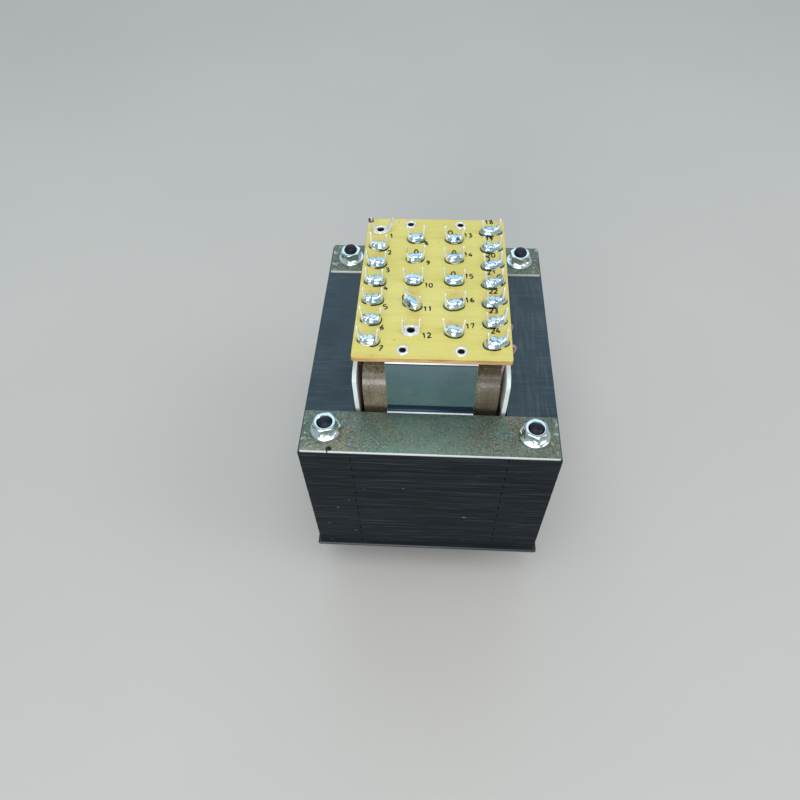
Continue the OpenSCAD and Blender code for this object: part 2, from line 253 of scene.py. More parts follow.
class Paint:
    """A Principled material: colour, roughness and relief from noise in the part's own space."""

    def __init__(self, key, name, dark, light, scale=40, stretch=(1, 1, 1), rough=(0.4, 0.5),
                 metal=0.0, coat=0.0, coat_rough=0.1, gloss=0.5, detail=6, contrast=(0.35, 0.65)):
        M[key] = bpy.data.materials.new(name)
        M[key].use_nodes = True
        self.tree = M[key].node_tree
        self.bsdf = self.tree.nodes["Principled BSDF"]
        for socket, value in (("Metallic", metal), ("Coat Weight", coat),
                              ("Specular IOR Level", gloss), ("Coat Roughness", coat_rough)):
            self.bsdf.inputs[socket].default_value = value
        self.place = self.node("ShaderNodeTexCoord").outputs["Object"]
        base = self.noise(scale, stretch, detail)
        self.colour = self.ramp(base, contrast, dark, light)
        self.height = None
        self.link(self.colour, self.bsdf, "Base Color")
        worn = self.noise(scale * 2.3, stretch, detail)
        self.link(self.span(worn, *rough), self.bsdf, "Roughness")

    def node(self, kind, inputs=None, **settings):
        made = self.tree.nodes.new(kind)
        for key, value in settings.items():
            setattr(made, key, value)
        for key, value in (inputs or {}).items():
            made.inputs[key].default_value = value
        return made

    def link(self, out, node, socket):
        self.tree.links.new(out, node.inputs[socket])

    def moved(self, stretch):
        mapping = self.node("ShaderNodeMapping", {"Scale": stretch})
        self.link(self.place, mapping, "Vector")
        return mapping.outputs["Vector"]

    def noise(self, scale, stretch=(1, 1, 1), detail=4):
        made = self.node("ShaderNodeTexNoise",
                         {"Scale": scale, "Detail": detail, "Roughness": 0.55})
        self.link(self.moved(stretch), made, "Vector")
        return made.outputs["Fac"]

    def ramp(self, value, places, *colours):
        made = self.node("ShaderNodeValToRGB")
        for stop, place, colour in zip(made.color_ramp.elements, places, colours):
            stop.position, stop.color = place, (*colour, 1)
        self.link(value, made, "Fac")
        return made.outputs["Color"]

    def span(self, value, lo, hi, from_lo=0.3, from_hi=0.7):
        made = self.node("ShaderNodeMapRange", {"From Min": from_lo, "From Max": from_hi,
                                                "To Min": lo, "To Max": hi})
        self.link(value, made, "Value")
        return made.outputs["Result"]

    def blend(self, amount, colour):
        """Lays a colour over what is there, where amount is 1."""
        made = self.node("ShaderNodeMix", data_type="RGBA")
        self.link(amount, made, "Factor")
        self.link(self.colour, made, "A")
        made.inputs["B"].default_value = (*colour, 1)
        self.colour = made.outputs["Result"]
        self.link(self.colour, self.bsdf, "Base Color")

    def patch(self, colour, amount, lo, hi, scale, stretch=(1, 1, 1), detail=4):
        """Lays a colour over the patches where a noise rises from lo to hi."""
        where = self.span(self.noise(scale, stretch, detail), 0, amount, lo, hi)
        self.blend(where, colour)

    def bump(self, value, distance):
        """Adds relief of that depth in millimetres."""
        made = self.node("ShaderNodeBump", {"Distance": distance * MM, "Strength": 1.0})
        self.link(value, made, "Height")
        if self.height:
            self.link(self.height, made, "Normal")
        self.height = made.outputs["Normal"]
        self.link(self.height, self.bsdf, "Normal")

    def axis(self, name):
        split = self.node("ShaderNodeSeparateXYZ")
        self.link(self.place, split, "Vector")
        return split.outputs[name]

    def math(self, operation, *values):
        made = self.node("ShaderNodeMath", operation=operation)
        for k, value in enumerate(values):
            if isinstance(value, float):
                made.inputs[k].default_value = value
            else:
                self.link(value, made, k)
        return made.outputs[0]

    def times(self, value, other):
        return self.math("MULTIPLY", value, other)

    def near(self, name, place, reach):
        """1 at that distance from the middle plane, on either side, falling to 0 within reach."""
        off = self.math("SUBTRACT", self.math("ABSOLUTE", self.axis(name)), float(place * MM))
        return self.span(self.math("ABSOLUTE", off), 1, 0, 0, reach * MM)


def chromate(key, name, dark, light, rough, grain, patch):
    """Passivated zinc: a dull mottle of olive, green and brown with a fine grain."""
    p = Paint(key, name, dark, light, scale=130, rough=rough, metal=0.6, detail=8)
    p.patch((0.115, 0.215, 0.175), patch, 0.52, 0.64, 62)
    p.patch((0.215, 0.190, 0.120), patch, 0.53, 0.65, 88, detail=6)
    p.patch((0.36, 0.43, 0.36), grain, 0.55, 0.67, 1500, detail=2)
    p.patch((0.055, 0.075, 0.062), grain, 0.55, 0.67, 1150, detail=2)
    return p


def make_materials():
    p = Paint("edges", "varnished_edges", (0.002, 0.004, 0.007), (0.008, 0.014, 0.019), scale=60,
              stretch=(0.5, 0.5, 14), rough=(0.50, 0.70), gloss=0.18)
    p.patch((0.036, 0.050, 0.061), 0.9, 0.54, 0.68, 330, (0.10, 0.10, 5))
    p.patch((0.002, 0.003, 0.005), 0.8, 0.54, 0.66, 300, (0.16, 0.16, 4))
    p.patch((0.22, 0.24, 0.24), 1, 0.758, 0.775, 420, (0.6, 0.6, 1.5), detail=2)
    p.bump(p.noise(900, (0.3, 0.3, 2.5)), 0.08)

    # the top faces get a lighter, bluer copy of the sides' black varnish: painted sheen of the sky
    p = Paint("core_top", "core_top_paint_and_sheen", (0.010, 0.030, 0.046), (0.024, 0.050, 0.070), scale=70,
              rough=(0.36, 0.50), coat=0.12, coat_rough=0.3)
    # brushed along the legs, and here and there across them
    p.patch((0.058, 0.092, 0.108), 0.45, 0.54, 0.70, 620, (0.10, 1.6, 1))
    p.patch((0.004, 0.012, 0.020), 0.7, 0.56, 0.70, 560, (0.10, 1.6, 1))
    across = p.span(p.noise(600, (1.6, 0.12, 1)), 0, 0.45, 0.50, 0.70)
    p.blend(p.times(across, p.span(p.axis("X"), 0, 1, 0.015, 0.030)), (0.085, 0.108, 0.112))
    p.bump(p.noise(620, (0.10, 1.6, 1)), 0.02)

    p = Paint("bell", "bell_enamel", (0.006, 0.011, 0.016), (0.012, 0.020, 0.028), scale=40,
              rough=(0.30, 0.44), coat=0.3, coat_rough=0.15)
    p.bump(p.noise(600), 0.02)

    p = chromate("chromate", "chromate_mottled", (0.125, 0.150, 0.125), (0.200, 0.235, 0.185),
                 (0.34, 0.50), 0.85, 0.7)
    p.patch((0.03, 0.03, 0.025), 1, 0.72, 0.745, 240, detail=3)
    # bluer about the middle, a painted reflection of the bracket's wall, and the ends are rubbed
    # bright
    p.blend(p.times(p.near("X", 0, 30), p.span(p.noise(50), 0.25, 0.75)), (0.165, 0.330, 0.285))
    rubbed = p.span(p.noise(420, detail=3), 0, 0.9, 0.58, 0.66)
    p.blend(p.times(p.near("X", strap_hi[0], 5.0), rubbed), (0.62, 0.68, 0.62))
    p.bump(p.noise(1500), 0.012)

    p = chromate("chromate_wall", "chromate_smooth", (0.130, 0.225, 0.245), (0.165, 0.275, 0.290),
                 (0.26, 0.34), 0.08, 0.12)
    # duller towards the top, under the board: painted shade
    p.blend(p.times(p.span(p.axis("Z"), 0, 1, 0.112, 0.124), p.span(p.noise(40), 0.3, 0.8)),
            (0.150, 0.200, 0.240))
    # a dark band along the foot's bend: painted reflection of the dark surroundings
    foot = core_hi[2] + SHEET + FOOT_R
    p.blend(p.span(p.near("Z", foot + 0.2, 2.2), 0, 1, 0.1, 0.42), (0.005, 0.026, 0.048))
    # a thin dark line just under the top bend: painted shade
    p.blend(p.span(p.near("Z", strap_hi[2] - SHEET, 0.7), 0, 0.7, 0.2, 0.6), (0.020, 0.050, 0.070))

    p = Paint("cut_edge", "cut_edge", (0.74, 0.78, 0.80), (0.96, 0.98, 0.98), scale=260,
              stretch=(0.3, 0.3, 3), rough=(0.34, 0.50), metal=0.25)

    # bright zinc, its cyan tint a painted reflection of the sky
    p = Paint("zinc", "bright_zinc", (0.74, 0.90, 0.93), (0.92, 0.99, 1.00), scale=120,
              rough=(0.08, 0.18), metal=1.0)
    p.patch((0.40, 0.50, 0.50), 0.6, 0.62, 0.74, 350)
    p.bump(p.noise(800), 0.01)

    p = Paint("bolt", "black_bolt", (0.006, 0.008, 0.014), (0.016, 0.024, 0.040), scale=300,
              rough=(0.26, 0.44), coat=0.05, gloss=0.22)

    p = Paint("wrap", "kraft_wrap", (0.150, 0.125, 0.082), (0.300, 0.262, 0.185), scale=110,
              rough=(0.28, 0.44), coat=0.6, coat_rough=0.22)
    # darker towards the right end, and darkest near it: painted shade of the board
    p.blend(p.span(p.axis("X"), 0, 0.5, 0.008, 0.020), (0.085, 0.074, 0.052))
    p.patch((0.420, 0.370, 0.280), 0.65, 0.54, 0.66, 1300, detail=3)
    p.patch((0.050, 0.038, 0.024), 0.75, 0.54, 0.66, 1050, detail=3)
    # painted shade of the board, darkest near the right end
    p.blend(p.span(p.axis("X"), 0, 0.5, 0.016, 0.020), (0.085, 0.068, 0.042))
    p.bump(p.noise(1100, detail=3), 0.05)
    p.bump(p.noise(160, detail=3), 0.08)

    p = Paint("fibre", "white_fibre", (0.76, 0.86, 0.85), (0.88, 0.95, 0.94), scale=160,
              rough=(0.55, 0.75))
    p.patch((0.62, 0.66, 0.58), 0.4, 0.56, 0.75, 90)
    p.bump(p.noise(900, detail=8), 0.05)

    Paint("pressboard", "pressboard", (0.16, 0.11, 0.07), (0.26, 0.19, 0.12), scale=200,
          rough=(0.7, 0.9))

    p = Paint("board", "board_face", (0.70, 0.620, 0.150), (0.79, 0.730, 0.215), scale=30,
              rough=(0.42, 0.56), coat=0.10, coat_rough=0.3, contrast=(0.30, 0.70))
    p.patch((0.82, 0.79, 0.31), 0.45, 0.52, 0.70, 18)
    p.patch((0.63, 0.54, 0.12), 0.35, 0.52, 0.68, 800, (0.05, 1.0, 1))
    p.patch((0.34, 0.23, 0.07), 0.9, 0.73, 0.76, 500, detail=2)
    # the heat and flux of soldering left a faint brown along the rows of lugs
    for place, reach in ((COL_OUT, 5.5), (COL_IN, 4.5)):
        stain = p.times(p.span(p.noise(120, detail=4), 0, 1, 0.50, 0.68), p.near("X", place, reach))
        p.blend(p.times(stain, 0.75), (0.66, 0.38, 0.09))
    p.blend(p.times(p.near("Y", board_hi[1], 3.0), p.span(p.noise(60), 0, 0.5, 0.45, 0.62)),
            (0.62, 0.40, 0.10))
    p.bump(p.noise(1200, (0.1, 1.0, 1)), 0.012)

    p = Paint("board_edge", "board_edge", (0.42, 0.23, 0.075), (0.72, 0.50, 0.20), scale=260,
              stretch=(0.3, 0.3, 4), rough=(0.55, 0.75))
    p.bump(p.noise(900, (0.3, 0.3, 4)), 0.04)

    p = Paint("tin", "tin_plate", (0.80, 0.82, 0.82), (0.96, 0.97, 0.96), scale=260,
              rough=(0.24, 0.38), metal=0.55)
    p.patch((0.10, 0.08, 0.06), 0.8, 0.64, 0.72, 900, (1, 1, 0.5), detail=2)
    p.bump(p.noise(900), 0.01)

    # silver solder, its blue a painted reflection of the sky
    p = Paint("solder", "solder", (0.46, 0.67, 0.82), (0.80, 0.93, 0.98), scale=170,
              rough=(0.10, 0.20), metal=1.0)
    p.patch((0.04, 0.09, 0.14), 0.9, 0.63, 0.67, 330, detail=3)
    # darker near the foot: a painted reflection of the board and painted contact shade
    p.blend(p.span(p.near("Z", BOARD_TOP + 0.1, 1.2), 0, 1, 0.35, 0.80), (0.035, 0.060, 0.070))
    p.bump(p.noise(260, detail=2), 0.02)

    # burnt flux, also used as painted shade in the rivet bores and round the beads' feet
    Paint("flux", "burnt_flux_and_shade", (0.016, 0.014, 0.014), (0.060, 0.044, 0.028), scale=400,
          rough=(0.3, 0.5))

    Paint("ink", "ink", (0.004, 0.004, 0.005), (0.014, 0.013, 0.015), scale=600,
          rough=(0.35, 0.6))

    Paint("enamel", "enamelled_wire", (0.045, 0.014, 0.009), (0.130, 0.042, 0.022), scale=200,
          rough=(0.20, 0.34), metal=0.5, coat=0.8)

    p = Paint("sleeve", "sleeving", (0.34, 0.19, 0.25), (0.56, 0.37, 0.44), scale=260,
              rough=(0.5, 0.7))
    p.bump(p.noise(1600), 0.03)

    Paint("copper", "wound_copper", (0.24, 0.07, 0.03), (0.42, 0.16, 0.07), scale=120,
          stretch=(0.4, 0.4, 6), rough=(0.3, 0.5), metal=0.7)

    Paint("floor", "studio_floor", (0.57, 0.565, 0.545), (0.60, 0.595, 0.575), scale=3,
          rough=(0.8, 0.9))


make_materials()


# ---- Camera, light and floor ----

def make_camera():
    """The photograph's view: nearly square on, looking steeply down."""
    azimuth, elevation, roll = radians(-4.65), radians(52.73), radians(-2.0)
    ahead = Vector((sin(azimuth) * cos(elevation),
                    cos(azimuth) * cos(elevation), -sin(elevation)))
    right = ahead.cross(Vector((0, 0, 1))).normalized()
    up = right.cross(ahead)
    right, up = (right * cos(roll) + up * sin(roll),
                 up * cos(roll) - right * sin(roll))
    data = bpy.data.cameras.new("camera")
    data.lens, data.sensor_width, data.clip_start = 28.6, 36, 0.01
    camera = bpy.data.objects.new("camera", data)
    turn = Matrix((right, up, -ahead)).transposed().to_4x4()
    camera.matrix_world = Matrix.Translation(Vector((0.3, -178.3, 288.9)) * MM) @ turn
    show(camera)
    bpy.context.scene.camera = camera


def lamp(name, place, aim, size, power, colour):
    data = bpy.data.lights.new(name, "AREA")
    data.shape, data.size, data.energy, data.color = "DISK", size, power, colour
    obj = bpy.data.objects.new(name, data)
    obj.location = place
    obj.rotation_euler = (Vector(aim) - Vector(place)).to_track_quat("-Z", "Y").to_euler()
    show(obj)


def make_stage():
    """A plain floor just under the part, four lamps and a pale sky."""
    side, drop = 6000, 0.05
    corners = at_z([(-side, -side), (side, -side), (side, side), (-side, side)], -drop)
    mesh = bpy.data.meshes.new("floor")
    mesh.from_pydata([[c * MM for c in v] for v in corners], [], [[0, 1, 2, 3]])
    mesh.materials.append(M["floor"])
    floor = bpy.data.objects.new("floor", mesh)
    show(floor)

    middle = (0, 0, 0.09)
    lamp("top", (-0.10, -0.32, 1.32), middle, 1.15, 6.2, (1.0, 1.0, 0.99))
    lamp("back", (-0.15, 1.60, 1.35), middle, 2.2, 8.2, (0.54, 0.82, 1.0))
    lamp("front", (-0.25, -1.35, 0.50), middle, 0.8, 8.4, (1.0, 0.99, 0.98))
    lamp("fill", (0.9, -0.2, 0.9), middle, 0.7, 2.2, (1.0, 0.99, 0.98))

    world = bpy.data.worlds.new("studio")
    bpy.context.scene.world = world
    world.use_nodes = True
    background = world.node_tree.nodes["Background"]
    background.inputs["Color"].default_value = (0.92, 0.97, 1.0, 1)
    background.inputs["Strength"].default_value = 0.42
    bpy.context.scene.view_settings.view_transform = "Standard"


# ---- Core ----

def make_core():
    """Every lamination of the interleaved stack, E and I, each sitting a hair out of line."""
    rnd = random.Random(7)
    groups = {name: Shape() for name in CORE_NODES}
    thick = PACKET_H / LAM_PER_PACKET
    end, half, win = 2.5 * LEG, 3 * LEG, 1.5 * LEG
    gap, rim = 0.13, 0.07
    count = PACKETS * LAM_PER_PACKET
    for i in range(count):
        packet = i // LAM_PER_PACKET
        side = -1 if packet % 2 else 1     # the yoke's end: the first packet has it on the right
        z = core_lo[2] + i * thick
        back = [rnd.uniform(0, LAM_SHIFT) for _ in range(4)]
        yoke = end - back[0]
        deep = half - back[1]
        e_pts = [(-yoke, -deep), (win - gap, -deep), (win - gap, -2 * LEG), (-win, -2 * LEG),
                 (-win, -LEG), (win - gap, -LEG), (win - gap, LEG), (-win, LEG),
                 (-win, 2 * LEG), (win - gap, 2 * LEG), (win - gap, deep), (-yoke, deep)]
        far, wide = end - back[2], half - back[3]
        i_pts = [(win + gap, -wide), (far, -wide), (far, wide), (win + gap, wide)]
        if side > 0:
            e_pts = [(-x, y) for x, y in e_pts][::-1]
            i_pts = [(-x, y) for x, y in i_pts][::-1]
        e_shape = groups["core_e_right" if side > 0 else "core_e_left"]
        i_shape = groups["core_i_left" if side > 0 else "core_i_right"]
        top = 1 if i == count - 1 else 0
        for shape, pts in ((e_shape, e_pts), (i_shape, i_pts)):
            solid_prism(shape, pts, z, z + thick - 0.02, rim, top)
    for name, shape in groups.items():
        shape.piece(name + "_laminations", "edges core_top", "core_steel", [name],
                    smooth=30)


def solid_prism(shape, pts, z0, z1, rim, top_mat):
    """A prism on an outline of right angles, its upper and lower edges broken by rim."""
    n = len(pts)
    inner = []
    for i, (x, y) in enumerate(pts):
        ax, ay = pts[i - 1]
        bx, by = pts[(i + 1) % n]
        # the inward normals of the two edges that meet here
        ux, uy = x - ax, y - ay
        vx, vy = bx - x, by - y
        ul, vl = hypot(ux, uy), hypot(vx, vy)
        inner.append((x - (uy / ul + vy / vl) * rim, y + (ux / ul + vx / vl) * rim))
    start = len(shape.faces)
    shape.loft([at_z(inner, z0), at_z(pts, z0 + rim), at_z(pts, z1 - rim), at_z(inner, z1)])
    shape.mats[-1] = top_mat
    if top_mat:
        for k in range(start + 2 * n, start + 3 * n):
            shape.mats[k] = top_mat


# ---- Coil ----

def make_cheeks():
    """Fibre cheeks that bow outwards where the core no longer holds them."""
    x_in, x_out = cheek_lo[0], cheek_hi[0]
    half_y, z_lo, z_hi = cheek_hi[1], cheek_lo[2], cheek_hi[2]
    corner, bow = 3.0, 0.55
    for side, node in ((-1, "cheek_left"), (1, "cheek_right")):
        shape = Shape()
        heights = [z_lo + (z_hi - z_lo) * i / 54 for i in range(55)]
        rows = 24
        rings = []
        for z in heights:
            over = max(0.0, corner - min(z - z_lo, z_hi - z))
            half = half_y - (corner - sqrt(max(0.0, corner ** 2 - over ** 2)))
            half -= 0.12 * (1 + waver(side * 9, z * 0.35, 0))
            past = max(0.0, z - core_hi[2], core_lo[2] - z) / (z_hi - core_hi[2])
            ring = []
            for face in (1, -1):
                for j in range(rows + 1):
                    y = half * (1 - 2 * j / rows) * face
                    flat = 1 - (y / half_y) ** 4 * 0.5
                    out = bow * sin(min(1, past) * pi * 0.62) * flat
                    x = (x_out if face > 0 else x_in + 0.3) - 0.1 * face
                    wave = 0.06 * waver(y * 0.2, z * 0.2, side * 5)
                    ring.append((side * (x + out * 0.5 + wave), y, z))
            rings.append(ring if side > 0 else ring[::-1])
        shape.loft(rings)
        shape.piece(node + "_fibre", "fibre", "cheek_fibre", [node], smooth=50)


def make_wrap():
    """Varnished paper wound once round the coil, its end lying over its start."""
    shape = Shape()
    half_y, z_lo, z_hi = wrap_hi[1], wrap_lo[2], wrap_hi[2]
    mid_z, half_z = (z_lo + z_hi) / 2, (z_hi - z_lo) / 2
    x0, x1 = wrap_lo[0], wrap_hi[0]
    thick, lap = 1.0, 0.32
    outline = rounded(half_y, half_z, 8.0, 10)
    # more points on the straight runs, for the paper's waves
    dense = []
    for i, a in enumerate(outline):
        b = outline[(i + 1) % len(outline)]
        steps = max(1, round(dist(a, b) / 2.0))
        dense += [(a[0] + (b[0] - a[0]) * k / steps, a[1] + (b[1] - a[1]) * k / steps)
                  for k in range(steps)]
    # start at the top's front edge, so that the lap shows there
    first = min(range(len(dense)), key=lambda i: dist(dense[i], (-half_y + 7.0, half_z)))
    dense = dense[first:] + dense[:first] + [dense[first]]
    total = len(dense) - 1
    stations = [x0 + (x1 - x0) * i / 40 for i in range(41)]

    def skin(depth_at):
        rows = [[] for _ in stations]
        for x, row in zip(stations, rows):
            for i, (y, z) in enumerate(dense):
                a, b = dense[max(i - 1, 0)], dense[min(i + 1, total)]
                nx, nz = b[1] - a[1], a[0] - b[0]
                d = depth_at(x, y, z, i / total) / hypot(nx, nz)
                row.append((x, y - nx * d, mid_z + z - nz * d))
        return rows

    def outer_depth(x, y, z, t):
        wave = 0.10 * (1 + waver(x * 0.10, y * 0.12, z * 0.12))
        crease = 0.05 * (1 + waver(x * 0.5, y * 0.5, z * 0.5))
        return lap * (1 - t) * 0.9 + wave * 0.5 + crease * 0.5

    inner = skin(lambda x, y, z, t: thick - 0.05 + lap * (1 - t) * 0.05)
    rings = [above + under[::-1] for above, under in zip(skin(outer_depth), inner)]
    shape.loft(rings, caps=(False, False))
    # the thin rims at both ends
    wide = len(rings[0])
    last = wide * (len(rings) - 1)
    for i in range(total):
        rim = [i, wide - 1 - i, wide - 2 - i, i + 1]
        shape.faces += [rim, [last + k for k in rim[::-1]]]
        shape.mats += [0, 0]
    shape.piece("coil_paper", "wrap", "wrap_kraft", ["coil_wrap"], smooth=60)


# ---- Clamp brackets ----

def make_bracket(side, node):
    """A strap with a tongue bent up into the board's wall and tab, cut edges bright, and a painted
    highlight on a strip of the foot's bend and of the top bend.
    """
    y_in, y_out = 2 * LEG + STRAP_IN, strap_hi[1]
    top = core_hi[2] + SHEET
    half = strap_hi[0]
    wall_y = y_in - FOOT_R
    outer_r = SHEET + TOP_R
    tab_end = strap_lo[1]
    # the tongue's outer skin, from the strap's inner edge to the tab's end
    path = [(y_in, top)]
    path += arc(y_in, top + FOOT_R, FOOT_R, 270, 180, 8)[1:]
    rise = strap_hi[2] - outer_r
    path += [(wall_y, top + FOOT_R + (rise - top - FOOT_R) * k / 6) for k in range(1, 7)]
    path += arc(wall_y - outer_r, rise, outer_r, 0, 90, 8)[1:]
    path += [(tab_end, strap_hi[2])]
    r = 0.5
    outline = arc(half - r, y_out - r, r, 0, 90, 5)
    outline += arc(-half + r, y_out - r, r, 90, 180, 5)
    outline += arc(-half + r, y_in + r, r, 180, 270, 5)
    left = len(outline)
    outline += [(-WALL_W / 2, y_in), (WALL_W / 2, y_in)]
    outline += arc(half - r, y_in + r, r, 270, 360, 5)
    verts = [(x, y, top) for x, y in outline]
    faces, mats = [list(range(len(verts)))], [0]
    prev = [left, left + 1]
    for k, (y, z) in enumerate(path[1:]):
        wide = WALL_W / 2 - (0.35 if k == len(path) - 2 else 0)
        verts += [(-wide, y, z), (wide, y, z)]
        new = [len(verts) - 2, len(verts) - 1]
        faces.append([prev[0], new[0], new[1], prev[1]])
        # strips of the foot's bend and of the top bend take the bright cut-edge material: painted
        # highlights
        bright = z < top + FOOT_R * 0.13 or rise + outer_r * 0.55 < z < rise + outer_r * 0.9
        mats.append(2 if bright else 1)
        prev = new
    if side < 0:
        verts = [(x, -y, z) for x, y, z in verts]
        faces = [f[::-1] for f in faces]
    shape = Shape()
    shape.add(verts, faces, mats)
    obj = shape.piece(node + "_sheet", "chromate chromate_wall cut_edge",
                      "bracket_chromate", [node])
    solid = obj.modifiers.new("sheet", "SOLIDIFY")
    solid.thickness = SHEET * MM
    solid.offset = -1
    solid.use_even_offset = True
    solid.material_offset_rim = 2
    edge = obj.modifiers.new("edge", "BEVEL")
    edge.width = 0.16 * MM
    edge.segments = 2
    edge.limit_method = "ANGLE"
    edge.angle_limit = radians(50)
    edge.material = 2
    apply_modifiers(obj)


def evaluated(obj):
    """The mesh that an object's curve or modifiers make."""
    graph = bpy.context.evaluated_depsgraph_get()
    return bpy.data.meshes.new_from_object(obj.evaluated_get(graph))


def apply_modifiers(obj):
    """Keeps the evaluated mesh and drops the modifiers."""
    mesh = evaluated(obj)
    obj.modifiers.clear()
    obj.data = mesh
    mesh.polygons.foreach_set("use_smooth", [True] * len(mesh.polygons))
    mesh.set_sharp_from_angle(angle=radians(35))


# ---- Nuts ----

def make_nuts():
    """Flange nuts: rounded rim, cone, hexagon with a turned chamfer, open thread."""
    n = 96
    half_af, play = HEX_AF / 2, 0.05
    rim_r = (nut_hi[0] - nut_lo[0]) / 2
    height = nut_hi[2] - nut_lo[2]
    bore = BOLT_D / 2 + play
    flats = [min(r, half_af / cos(TAU / 12) * 0.985) for r in hexagon(n)]
    face_r = half_af * 0.96
    rings = [[(r, z)] * n for r, z in
             ((rim_r - 0.25, 0.0), (rim_r - 0.05, 0.10), (rim_r, 0.35), (rim_r - 0.03, 0.65),
              (rim_r - 0.15, 0.85), (rim_r - 0.45, 1.0), (rim_r - 1.0, 1.16),
              (half_af + 0.75, 1.48))]
    rings += [[(r + 0.10, 1.80) for r in flats], [(r, 1.95) for r in flats],
              [(r, height - (r - face_r) * 0.50) for r in flats]]
    rings += [[(r, z)] * n for r, z in
              ((face_r, height), (bore + 0.45, height), (bore + 0.10, height - 0.32),
               (bore, height - 0.45), (bore, 0.0))]
    rnd = random.Random(3)
    for corner, sx, sy in CORNERS:
        node = "nut_" + corner
        turn = rnd.uniform(0, TAU / 6)
        points = [[(r * cos(TAU * i / n + turn), r * sin(TAU * i / n + turn), z)
                   for i, (r, z) in enumerate(ring)] for ring in rings]
        shape = Shape()
        shape.loft(points, place=shifted(sx * bolt_x, sy * bolt_y, nut_lo[2]), loop=True)
        shape.piece(node + "_flanged", "zinc", "nut_zinc", [node], smooth=28)


def make_bolts():
    """Bolts with a rolled thread that shows past the nut, and a forged head under the bell."""
    pitch, depth, n = 0.8, 0.42, 48
    for corner, sx, sy in CORNERS:
        node = "bolt_" + corner
        lo, hi = box(node)
        r, tip, seat = BOLT_D / 2, hi[2], bell_hi[2] - BELL_T
        dome = 0.8
        profile = [(0.02, tip)]
        profile += [(r * sin(a), tip - dome * (1 - cos(a)) / (1 - cos(1.2)))
                    for a in [1.2 * k / 6 for k in range(1, 6)]]
        z = tip - dome
        while z > nut_lo[2]:
            profile += [(r - 0.03, z), (r - 0.03, z - pitch * 0.15), (r - depth, z - pitch * 0.5),
                        (r - depth, z - pitch * 0.62)]
            z -= pitch
        profile += [(r - 0.03, z), (r - 0.03, seat)]
        flats, low, half_af = hexagon(n), lo[2], HEX_AF / 2
        rings = [turned([q] * n, h) for q, h in profile]
        rings += [turned([half_af * 0.97] * n, seat), turned(flats, seat - 0.1),
                  turned(flats, low + 0.15), turned([half_af * 0.95] * n, low)]
        shape = Shape()
        shape.loft([ring[::-1] for ring in rings], place=shifted(sx * bolt_x, sy * bolt_y, 0))
        shape.piece(node + "_threaded", "bolt", "bolt_black", [node], smooth=30)


# ---- Terminal board ----

def make_board():
    """The fibre board with its edges just broken and every rivet hole open."""
    curve = bpy.data.curves.new("terminal_board_fibre", "CURVE")
    curve.dimensions = "2D"
    curve.fill_mode = "BOTH"
    thick = board_hi[2] - board_lo[2]
    rim = 0.16
    curve.extrude = (thick / 2 - rim) * MM
    curve.bevel_depth = rim * MM
    curve.bevel_resolution = 2
    curve.offset = -rim * MM

    def spline(points):
        s = curve.splines.new("POLY")
        s.points.add(len(points) - 1)
        for p, (x, y) in zip(s.points, points):
            p.co = (x * MM, y * MM, 0, 1)
        s.use_cyclic_u = True

    def hole(x, y, shank):
        spline([q[:2] for q in turned([shank + 0.05] * 24, 0, x, y)])

    spline(rounded(board_hi[0], board_hi[1], 1.0, 5))
    for x, rows, _ in COLUMNS.values():
        for y in rows:
            hole(x, y, SHANK_R)
    for x, y in eyelet_places():
        hole(x, y, EYE_SHANK_R)
    raw = bpy.data.objects.new("board_outline", curve)
    show(raw)
    mesh = evaluated(raw)
    bpy.data.objects.remove(raw)
    mesh.transform(shifted(0, 0, (board_lo[2] + board_hi[2]) / 2 * MM))
    mesh.materials.clear()
    for m in (M["board"], M["board_edge"]):
        mesh.materials.append(m)
    for f in mesh.polygons:
        f.material_index = 0 if abs(f.normal.z) > 0.9 else 1
        f.use_smooth = True
    mesh.set_sharp_from_angle(angle=radians(30))
    obj = bpy.data.objects.new("terminal_board_fibre", mesh)
    show(obj)
    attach(obj, "root")
    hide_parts("terminal_board")


def eyelet_places():
    x, y = eye_hi[0] - EYE_R, eye_hi[1] - EYE_R
    return [(sx * x, sy * y) for sx in (-1, 1) for sy in (-1, 1)]


def rolled(shape, place, shank, head, drop, tail):
    """A hollow rivet: rolled head on top, shank down to drop, flared tail."""
    bore = shank - SHANK_T
    roll = (head - bore) / 2
    profile = [(bore, -drop - 0.3), (bore, 0.0)]
    profile += [(bore + roll - roll * cos(a), roll * sin(a) * 0.9)
                for a in [pi * k / 8 for k in range(1, 9)]]
    profile += [(head, -0.02), (shank, -0.05), (shank, -drop), (tail, -drop), (tail, -drop - 0.3)]
    start, n = len(shape.faces), 32
    shape.revolve(profile, place=place, n=n)
    shape.mats[start:start + n] = [1] * n     # the bore gets the dark flux material: painted shade inside the hole


def make_eyelets():
    shape = Shape()
    for x, y in eyelet_places():
        rolled(shape, shifted(x, y, BOARD_TOP), EYE_SHANK_R, EYE_R,
               board_hi[2] - board_lo[2] + SHEET, EYE_RIM_R)
    shape.piece("board_eyelets_rolled", "tin flux", "eyelet_tin", ["board_eyelets"],
                smooth=50)


# ---- Lugs and solder ----

def prong(shape, place, side):
    """An upright tongue of tinned sheet, hollow towards the lug's middle, narrowing to its tip."""
    base, tip, t = PRONG_W / 2, PRONG_TIP / 2, PRONG_T / 2
    edge = [(base, 0.0), (base, 0.8), (tip + 0.1, PRONG_H - tip - 0.5)]
    edge += arc(0, PRONG_H - tip, tip, 0, 180, 10)
    edge += [(-tip - 0.1, PRONG_H - tip - 0.5), (-base, 0.8), (-base, 0.0)]
    soft = 0.09
    inner = [(y * (1 - soft / base), z * (1 - soft / PRONG_H)) for y, z in edge]
    rings = [[(x - side * y * y / (2 * RING_R), y, z) for y, z in pts] for x, pts in
             ((-t, inner), (-t + soft, edge), (t - soft, edge), (t, inner))]
    shape.loft(rings, place=place)


